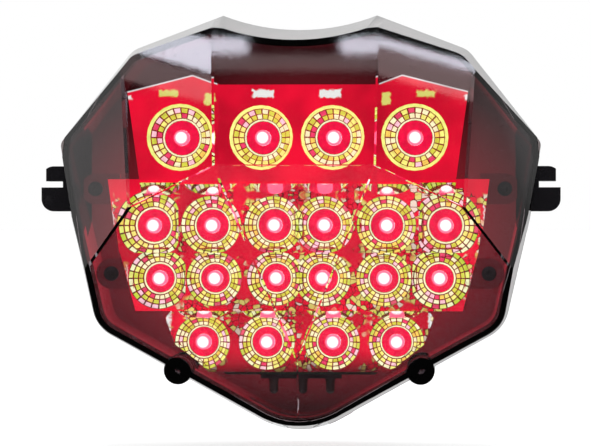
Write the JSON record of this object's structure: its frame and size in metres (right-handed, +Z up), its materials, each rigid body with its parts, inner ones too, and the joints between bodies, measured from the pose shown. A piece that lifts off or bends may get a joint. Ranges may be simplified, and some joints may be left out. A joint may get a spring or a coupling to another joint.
{
  "type": "tail light",
  "caption": "Motorcycle tail light: smoked faceted shield-shaped lens over rows of red LEDs in faceted cups, black rear housing with slotted side ears and a clear number plate window.",
  "frame": {"origin": "midway between the two threaded inserts, on the plane of the rear bosses", "axes": "+Z up, +Y to the rear along the inserts, so the lens faces -Y; +X to the right as seen by someone looking at the lens"},
  "size_m": [0.169, 0.076, 0.1356],
  "materials": {
    "smoked_lens": "smoked polycarbonate, polished",
    "clear_window": "clear polycarbonate, polished",
    "sealant": "dull black",
    "housing_plastic": "moulded, glossy black",
    "reflector_plate": "vacuum metallised",
    "led_red": "red epoxy, lit",
    "led_white": "clear epoxy, lit",
    "tinned_steel": "tinned",
    "circuit_board": "solder mask",
    "resistor_body": "lacquer",
    "black_component": "moulded epoxy",
    "capacitor_can": "sleeved",
    "header_plastic": "moulded nylon",
    "wire_insulation": "PVC",
    "zinc_screw": "zinc plated",
    "brass": "machined",
    "black_rubber": "matt moulded",
    "membrane": "white porous film"
  },
  "bodies": {
    "root": {"lens": "smoked_lens", "lens_seal": "sealant", "housing": "housing_plastic", "plate_window": "clear_window", "reflector": "reflector_plate", "leds_top_row": "led_red", "leds_second_row": "led_red", "leds_third_row": "led_red", "leds_bottom_row": "led_red", "plate_leds": "led_white", "led_leads": "tinned_steel", "upper_board": "circuit_board", "middle_board": "circuit_board", "lower_board": "circuit_board", "plate_board": "circuit_board", "resistors": "resistor_body", "diodes": "black_component", "driver_chips": "black_component", "capacitor": "capacitor_can", "feed_header": "header_plastic", "board_links": "wire_insulation", "board_screws": "zinc_screw", "reflector_screws": "zinc_screw", "lens_screws": "zinc_screw", "rear_inserts": "brass", "wire_grommet": "black_rubber", "vent_membrane": "membrane", "vent_cap": "housing_plastic"}
  },
  "joints": []
}
